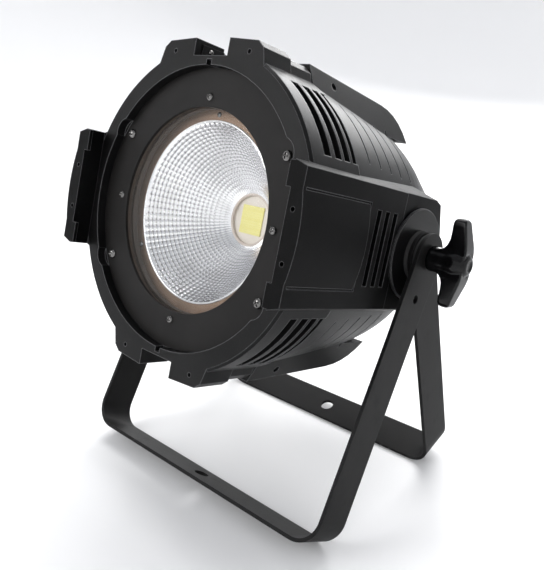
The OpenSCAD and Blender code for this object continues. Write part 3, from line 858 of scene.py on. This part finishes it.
@dataclass
class Reflector:
    """Bowl of rounded pebbles in radial columns and concentric rows, with a rolled rim."""

    columns: int = 80
    rows: int = 20
    cuts: int = 4
    bowl_power: float = 0.72
    pebble: float = 1.0 * MM
    pebble_power: float = 0.7
    wall: float = 1.6 * MM
    rim_roll: float = 1.1 * MM
    rim_steps: int = 5
    rim_inset: float = 2 * MM
    rim_clearance: float = 0.2 * MM
    throat_clearance: float = 0.4 * MM
    throat_share: float = 0.995
    sharp: float = 60.0
    front: float = field(init=False, default=0.0)
    rear: float = field(init=False, default=0.0)
    rim: float = field(init=False, default=0.0)
    throat: float = field(init=False, default=0.0)

    def build(self, shop: Workshop) -> None:
        """Builds the bowl inside the frame's reflector.

        Args:
            shop: the workshop.
        """
        points = [v.co for v in shop.nodes["reflector"].data.vertices]
        low, high = shop.head.local_box(points)
        back = shop.head.matrix.inverted()
        self.front, self.rear = low.y, high.y
        self.rim = high.x - self.rim_inset
        self.throat = self.throat_clearance + min(
            math.hypot(p.x, p.z) for p in (back @ point for point in points))
        cage = bmesh.new()
        rings = self._rings(cage)
        for near, far in zip(rings, rings[1:]):
            skin(cage, near, far)
        shop.piece("reflector_bowl", shop.head_mesh("reflector_bowl", cage, self.sharp),
                   "mirror", "reflector")

    def radius(self, share: float) -> float:
        """Radius of the bowl.

        Args:
            share: 0 at the rim and 1 at the throat.

        Returns:
            The radius in metres.
        """
        opening = (1 - share * self.throat_share) ** self.bowl_power
        return self.throat + (self.rim - self.throat) * opening

    def _rings(self, cage: bmesh.types.BMesh) -> list[Ring]:
        """Rings of points from the rim's roll down the bowl and back up the outside.

        Args:
            cage: mesh that takes the points.

        Returns:
            The rings, with the first one again at the end.
        """
        around = self.columns * self.cuts
        down = self.rows * self.cuts
        depth = self.rear - self.front
        rings = []
        for k in range(self.rim_steps):
            turn = math.pi * (1 - k / self.rim_steps)
            out = self.rim + self.rim_roll * (1 + math.cos(turn)) / 2 + self.rim_clearance
            y = self.front + self.rim_roll * (1 - math.sin(turn)) / 2
            rings.append(self._ring(cage, [out] * around, y))
        rings.reverse()
        bumps = [self._swell(self.columns * i / around) for i in range(around)]
        for k in range(down + 1):
            share = k / down
            radius = self.radius(share)
            size = self.pebble * radius / self.rim * self._swell(self.rows * share)
            rings.append(self._ring(cage, [radius - size * b for b in bumps],
                                    self.front + depth * share))
        for k in range(self.rows, -1, -2):
            share = k / self.rows
            outside = [self.radius(share) + self.wall] * around
            rings.append(self._ring(cage, outside, self.front + depth * share))
        rings.append(rings[0])
        return rings

    def _swell(self, cells: float) -> float:
        """Height of the pebbles, from 0 to 1, some cells along a row or column."""
        return abs(math.sin(math.pi * cells)) ** self.pebble_power

    @staticmethod
    def _ring(cage: bmesh.types.BMesh, radii: Sequence[float], y: float) -> Ring:
        """Ring of points about the axis.

        Args:
            cage: mesh that takes the points.
            radii: radius of each point, in equal steps of angle.
            y: place along the axis.

        Returns:
            The points.
        """
        ring = []
        for i, radius in enumerate(radii):
            angle = 2 * math.pi * i / len(radii)
            ring.append(cage.verts.new((radius * math.cos(angle), y, radius * math.sin(angle))))
        return ring


# ---- Screws ----


@dataclass
class ScrewSet:
    """Domed screw heads with a cross recess and a shank, at the solids of a frame node.

    The sizes are shares of the head's radius.
    """

    node: str
    facing: float = -1.0
    turn: float = 0.35
    turn_step: float = 0.9
    segments: int = 32
    sharp: float = 32.0
    dome: float = 0.62
    dome_rings: tuple[float, ...] = (0.0, 0.08, 0.14, 0.2, 0.28, 0.36, 0.44, 0.5, 0.56, 0.62)
    dome_steps: int = 7
    dome_first: int = 4
    collar: float = 0.96
    collar_drop: float = 0.06
    shank: float = 0.5
    tip_length: float = 0.2
    tip: float = 0.3
    recess_limit: float = 0.7
    recess_arm: float = 0.13
    recess_reach: float = 0.58
    recess_depth: float = 0.5
    recess_slope: float = 0.75

    def build(self, shop: Workshop) -> None:
        """Builds one mesh with a screw at each solid of the node.

        Args:
            shop: the workshop.
        """
        cage = bmesh.new()
        for index, part in enumerate(shop.loose_parts(self.node)):
            low, high = shop.head.local_box(part)
            self._screw(cage, low, high, self.turn + self.turn_step * index)
        name = self.node + "_detailed"
        shop.piece(name, shop.head_mesh(name, cage, self.sharp), "screw", self.node)

    def _screw(self, cage: bmesh.types.BMesh, low: Vector, high: Vector, turn: float) -> None:
        """Adds one screw inside a box, with the cross sunk into its dome.

        Args:
            cage: mesh that takes the screw.
            low: lowest corner in head coordinates.
            high: highest corner in head coordinates.
            turn: angle of the recess about the screw's axis.
        """
        head_r = (high.x - low.x) / 2
        centre = (low + high) / 2
        face, tip = (low.y, high.y) if self.facing < 0 else (high.y, low.y)
        rings = []
        for share, y in self._outline(head_r, face, tip):
            radius = head_r * share
            shallow = self.facing * (y - face) > -self.recess_limit * head_r
            count = self.segments if share > 0 else 1
            ring = []
            for i in range(count):
                angle = 2 * math.pi * i / count
                u, v = share * math.cos(angle - turn), share * math.sin(angle - turn)
                sunk = head_r * self._sink(u, v) if shallow and share < self.recess_limit else 0.0
                x, z = radius * math.cos(angle), radius * math.sin(angle)
                ring.append(cage.verts.new((centre.x + x, y - self.facing * sunk, centre.z + z)))
            rings.append(ring)
        for near, far in zip(rings, rings[1:]):
            skin(cage, near, far)

    def _outline(self, head_r: float, face: float, tip: float) -> list[tuple[float, float]]:
        """Outline of a screw.

        Args:
            head_r: radius of the head.
            face: place of the head's top along Y.
            tip: place of the shank's end along Y.

        Returns:
            Share of the head's radius and place along Y of each point.
        """
        dome = list(self.dome_rings)
        for k in range(self.dome_first, self.dome_steps + 1):
            dome.append(math.sin(math.pi / 2 * k / self.dome_steps))
        outline = []
        for share in dome:
            lift = self.dome * head_r * (1 - math.sqrt(max(0.0, 1 - share ** 2)))
            outline.append((share, face - self.facing * lift))
        seat = outline[-1][1] - self.facing * self.collar_drop * head_r
        end = tip + self.facing * self.tip_length * head_r
        return outline + [(self.collar, seat), (self.shank, seat), (self.shank, end),
                          (self.tip, tip), (0.0, tip)]

    def _sink(self, u: float, v: float) -> float:
        """Depth of the cross recess at a point of the head.

        Args:
            u: place along one arm, as a share of the head's radius.
            v: place along the other arm.

        Returns:
            The depth, as a share of the head's radius.
        """
        near, far = sorted((abs(u), abs(v)))
        if near > self.recess_arm or far > self.recess_reach:
            return 0.0
        return self.recess_depth * (1 - self.recess_slope * far / self.recess_reach)


# ---- Housing and stand ----


@dataclass
class Housing:
    """Cast body, bezel, covers and pivots, in their coats."""

    def build(self, shop: Workshop) -> None:
        """Dresses the frame's nodes.

        Args:
            shop: the workshop.
        """
        shop.dress("cast", "front_ring", "main_housing", "rear_cap")
        shop.dress("cover", "side_cover_left", "side_cover_right",
                   "pivot_block_left", "pivot_block_right")
        shop.dress("disc", "pivot_disc_left", "pivot_disc_right")
        shop.dress("bezel", "front_bezel", "rear_panel")
        shop.dress("plate", "trim_plate")
        shop.dress("clip", "clip_plate")
        for node in ("bezel_screws", "cover_screws", "trim_screws"):
            ScrewSet(node).build(shop)
        ScrewSet("rear_panel_screws", facing=1.0).build(shop)
        shop.dress("screw", "clip_screw")


@dataclass
class Optics:
    """Glass, reflector and light source."""

    reflector: Reflector = field(default_factory=Reflector)

    def build(self, shop: Workshop) -> None:
        """Builds the bowl and dresses the rest.

        Args:
            shop: the workshop.
        """
        self.reflector.build(shop)
        shop.dress("glass", "front_glass")
        shop.dress("rubber", "glass_gasket")
        shop.dress("phosphor", "led_emitter")
        shop.dress("board", "led_substrate")
        shop.dress("holder", "led_holder")


@dataclass
class Inside:
    """Cooling, supply and control board behind the reflector."""

    def build(self, shop: Workshop) -> None:
        """Dresses the frame's nodes.

        Args:
            shop: the workshop.
        """
        shop.dress("extrusion", "heat_sink")
        shop.dress("fan", "fan_frame", "fan_rotor")
        shop.dress("case", "power_supply")
        shop.dress("circuit", "control_board")


@dataclass
class RearFittings:
    """Display, buttons, connectors, fuse and safety eye on the rear panel."""

    buttons: tuple[str, ...] = ("button_menu", "button_down", "button_up", "button_enter")

    def build(self, shop: Workshop) -> None:
        """Dresses the frame's nodes.

        Args:
            shop: the workshop.
        """
        shop.dress("window", "display_window")
        shop.dress("button", *self.buttons)
        shop.dress("shell", "dmx_inlet", "dmx_outlet")
        shop.dress("moulding", "power_inlet", "power_outlet", "fuse_holder", "fuse_cap")
        shop.dress("screw", "dmx_latch", "dmx_pins", "power_pins")
        shop.dress("wire", "safety_eye")


@dataclass
class WingKnob:
    """Moulded wing knob with soft edges, shaped from the frame's knob."""

    voxel: float = 0.6 * MM
    passes: int = 8
    softness: float = 0.5
    weld: float = 0.005 * MM

    def build(self, shop: Workshop, node: str) -> None:
        """Builds one knob.

        Args:
            shop: the workshop.
            node: the frame's knob.
        """
        cage = bmesh.new()
        cage.from_mesh(shop.nodes[node].data)
        bmesh.ops.remove_doubles(cage, verts=cage.verts, dist=self.weld)
        mesh = bpy.data.meshes.new(node + "_rough")
        cage.to_mesh(mesh)
        cage.free()
        rough = bpy.data.objects.new(node + "_rough", mesh)
        bpy.context.scene.collection.objects.link(rough)
        remesh = rough.modifiers.new("even", "REMESH")
        remesh.mode, remesh.voxel_size = "VOXEL", self.voxel
        soften = rough.modifiers.new("soften", "SMOOTH")
        soften.factor, soften.iterations = self.softness, self.passes
        smooth = apply_modifiers(rough)
        smooth.materials.clear()
        for face in smooth.polygons:
            face.use_smooth = True
        shop.piece(node + "_moulding", smooth, "knob", node)


@dataclass
class Stand:
    """Two bent bars that open into a floor stand, with their washers and bolts."""

    knob: WingKnob = field(default_factory=WingKnob)

    def build(self, shop: Workshop) -> None:
        """Dresses the frame's nodes.

        Args:
            shop: the workshop.
        """
        shop.dress("sheet", "front_yoke", "rear_yoke")
        shop.dress("fibre", "inner_washers", "outer_washers")
        shop.dress("brass", "thread_inserts")
        shop.dress("screw", "knob_bolt_left", "knob_bolt_right")
        for node in ("knob_left", "knob_right"):
            self.knob.build(shop, node)


# ---- Studio ----


@dataclass(frozen=True)
class SoftLight:
    """Rectangular soft light aimed at a point."""

    name: str
    place: tuple[float, float, float]
    size: tuple[float, float]
    power: float

    def build(self, target: Vector) -> None:
        """Adds the light.

        Args:
            target: point that it faces.
        """
        data = bpy.data.lights.new(self.name, "AREA")
        data.shape = "RECTANGLE"
        data.size, data.size_y = self.size
        data.energy = self.power
        lamp = bpy.data.objects.new(self.name, data)
        bpy.context.scene.collection.objects.link(lamp)
        lamp.location = Vector(self.place)
        lamp.rotation_euler = (target - lamp.location).to_track_quat("-Z", "Y").to_euler()


@dataclass
class Studio:
    """Pale round cyclorama, soft lights and the camera."""

    floor_radius: float = 2.6
    middle_radius: float = 0.6
    sweep: float = 1.2
    sweep_steps: int = 12
    wall: float = 2.2
    around: int = 96
    sky: Colour = (0.93, 0.95, 1.0)
    sky_strength: float = 0.56
    sharp: float = 60.0
    azimuth: float = 42.11
    elevation: float = 18.69
    roll: float = 1.2
    offset: tuple[float, float, float] = (0.36896, -0.44149, 0.14042)
    lens: float = 41.67
    shift: tuple[float, float] = (0.0053, -0.0024)
    clip: tuple[float, float] = (0.01, 50.0)
    lights: tuple[SoftLight, ...] = (
        SoftLight("top_light", (-0.35, 0.55, 1.5), (1.3, 1.0), 19.0),
        SoftLight("front_light", (-0.9, -1.5, 1.0), (0.9, 0.9), 12.0),
        SoftLight("side_light", (1.6, -0.3, 0.9), (0.3, 1.2), 1.5),
        SoftLight("back_light", (-0.5, 1.7, 1.0), (1.2, 0.7), 22.0),
    )

    def build(self, shop: Workshop) -> None:
        """Makes the studio round the light.

        Args:
            shop: the workshop.
        """
        self._cyclorama()
        for light in self.lights:
            light.build(shop.head.pivot)
        self._camera(shop.head.pivot)
        world = bpy.data.worlds.new("studio_world")
        world.use_nodes = True
        ground = world.node_tree.nodes["Background"]
        ground.inputs["Color"].default_value = opaque(self.sky)
        ground.inputs["Strength"].default_value = self.sky_strength
        bpy.context.scene.world = world
        bpy.context.scene.view_settings.view_transform = "Standard"

    def _cyclorama(self) -> None:
        """Adds the floor that sweeps up into a wall all round."""
        flat = self.floor_radius - self.sweep
        outline = [(self.middle_radius, 0.0), (flat, 0.0)]
        for k in range(1, self.sweep_steps + 1):
            angle = math.pi / 2 * k / self.sweep_steps
            outline.append((flat + self.sweep * math.sin(angle),
                            self.sweep * (1 - math.cos(angle))))
        outline.append((self.floor_radius, self.wall))
        turns = [2 * math.pi * i / self.around for i in range(self.around)]
        cage = bmesh.new()
        rings = [[cage.verts.new((0, 0, 0))]]
        for radius, z in outline:
            rings.append([cage.verts.new((radius * math.cos(t), radius * math.sin(t), z))
                          for t in turns])
        for near, far in zip(rings, rings[1:]):
            skin(cage, far, near)
        mesh = bpy.data.meshes.new("studio_floor")
        cage.to_mesh(mesh)
        cage.free()
        shade(mesh, self.sharp)
        mesh.materials.append(StudioPaint("studio_paint").make())
        floor = bpy.data.objects.new("studio_floor", mesh)
        bpy.context.scene.collection.objects.link(floor)

    def _camera(self, pivot: Vector) -> None:
        """Adds the camera.

        Args:
            pivot: the light's tilt axis at the middle.
        """
        a, e, r = (math.radians(v) for v in (self.azimuth, self.elevation, self.roll))
        right = Vector((math.cos(a), math.sin(a), 0))
        up = Vector((-math.sin(a) * math.sin(e), math.cos(a) * math.sin(e), math.cos(e)))
        back = right.cross(up)
        across = math.cos(r) * right + math.sin(r) * up
        upward = back.cross(across)
        data = bpy.data.cameras.new("camera")
        data.lens = self.lens
        data.shift_x, data.shift_y = self.shift
        data.clip_start, data.clip_end = self.clip
        camera = bpy.data.objects.new("camera", data)
        bpy.context.scene.collection.objects.link(camera)
        turn = Matrix((across, upward, back)).transposed().to_4x4()
        camera.matrix_world = Matrix.Translation(pivot + Vector(self.offset)) @ turn
        bpy.context.scene.camera = camera


def main() -> None:
    """Builds the light and its studio."""
    logging.basicConfig(level=logging.INFO, format="%(name)s: %(message)s")
    for stale in list(bpy.data.objects):
        bpy.data.objects.remove(stale)
    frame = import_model()
    shop = Workshop(frame)
    for assembly in (Housing(), Optics(), Inside(), RearFittings(), Stand(), Studio()):
        LOG.info("making %s", type(assembly).__name__)
        assembly.build(shop)


if __name__ == "__main__":
    main()
